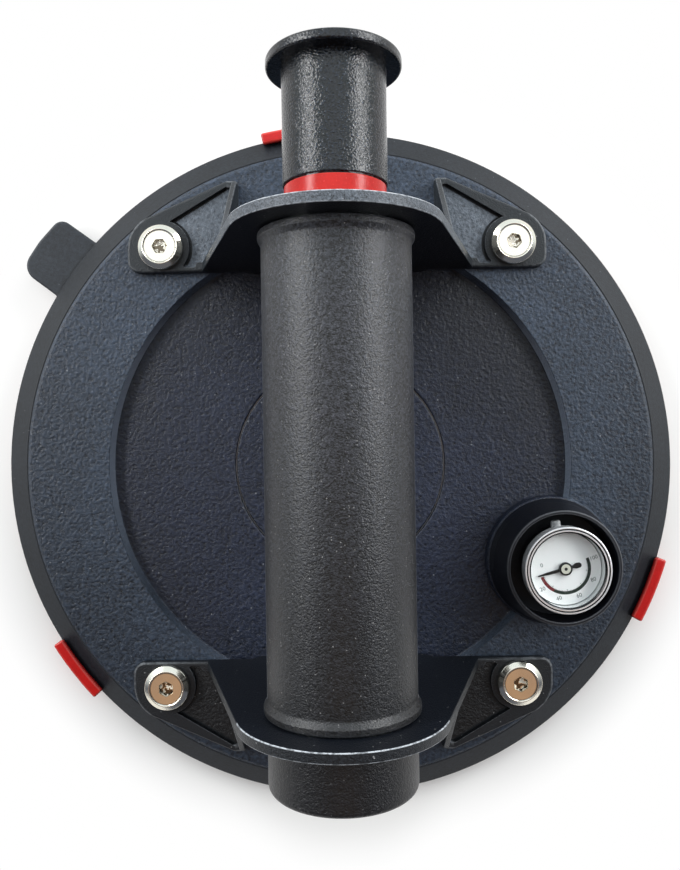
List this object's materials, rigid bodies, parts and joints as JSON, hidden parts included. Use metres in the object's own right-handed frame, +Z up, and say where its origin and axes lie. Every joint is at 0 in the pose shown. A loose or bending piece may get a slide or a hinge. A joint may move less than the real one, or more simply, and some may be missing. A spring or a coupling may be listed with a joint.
{
  "type": "hand suction cup",
  "caption": "Round 200 mm hand suction cup: rubber pad, two brackets, tubular grip with a push pump and red indicator band, and a small vacuum gauge.",
  "frame": {"origin": "centre of the flat underside of the pad cover", "axes": "+Z up from the surface that the cup stands on, +Y along the handle towards the plunger, +X to the side with the gauge"},
  "size_m": [0.2032, 0.2049, 0.0827],
  "materials": {
    "red_plastic": "satin",
    "black_rubber": "matte",
    "black_moulding": "fine texture",
    "black_coat": "fine powder coat",
    "black_gloss": "gloss",
    "plain_steel": "satin",
    "nickel": "polished",
    "brass": "satin",
    "aluminium": "satin",
    "white_plastic": "matte",
    "clear_plastic": "polished",
    "felt": "matte"
  },
  "bodies": {
    "base": {"air_hose": "black_rubber", "backing_plate": "plain_steel", "bracket_screw_1": "nickel", "bracket_screw_2": "nickel", "bracket_screw_3": "nickel", "bracket_screw_4": "nickel", "cap_nipple": "brass", "centre_cap": "black_moulding", "dial_plate": "white_plastic", "end_cap": "black_coat", "gauge_bezel": "nickel", "gauge_boot": "black_rubber", "gauge_case": "black_coat", "gauge_gasket": "black_rubber", "gauge_lens": "clear_plastic", "gauge_movement": "brass", "gauge_plug": "clear_plastic", "gauge_stem": "brass", "grip_tube": "black_coat", "guide_bush": "black_gloss", "lower_bracket": "black_coat", "pad_cover": "red_plastic", "pad_nipple": "brass", "pad_shell": "black_moulding", "port_filter": "felt", "pressure_tube": "brass", "pump_barrel": "aluminium", "return_spring": "plain_steel", "rubber_pad": "black_rubber", "threaded_insert_1": "brass", "threaded_insert_2": "brass", "threaded_insert_3": "brass", "threaded_insert_4": "brass", "upper_bracket": "black_coat", "valve_cage": "brass", "valve_seat": "brass", "valve_spring": "plain_steel"},
    "plunger": {"plunger_sleeve": "black_gloss", "plunger_tube": "aluminium", "indicator_band": "red_plastic", "piston_head": "black_gloss", "piston_seal": "black_rubber"},
    "needle": {"gauge_needle": "black_gloss"},
    "valve": {"valve_poppet": "black_rubber"}
  },
  "joints": [
    {"name": "plunger_slide", "type": "slide", "parent": "base", "child": "plunger", "axis": [0, -1, 0], "range_m": [0, 0.0345], "stiffness_N_per_m": 300, "deforming": ["return_spring"]},
    {"name": "needle_swing", "type": "hinge", "parent": "base", "child": "needle", "pos_m": [0.0628, -0.0296, 0.0275], "axis": [0, 0, 1], "range_deg": [0, 180], "stiffness_Nm_per_rad": 0.00002},
    {"name": "valve_lift", "type": "slide", "parent": "base", "child": "valve", "axis": [0, 1, 0], "range_m": [0, 0.0012], "stiffness_N_per_m": 30, "deforming": ["valve_spring"]}
  ]
}
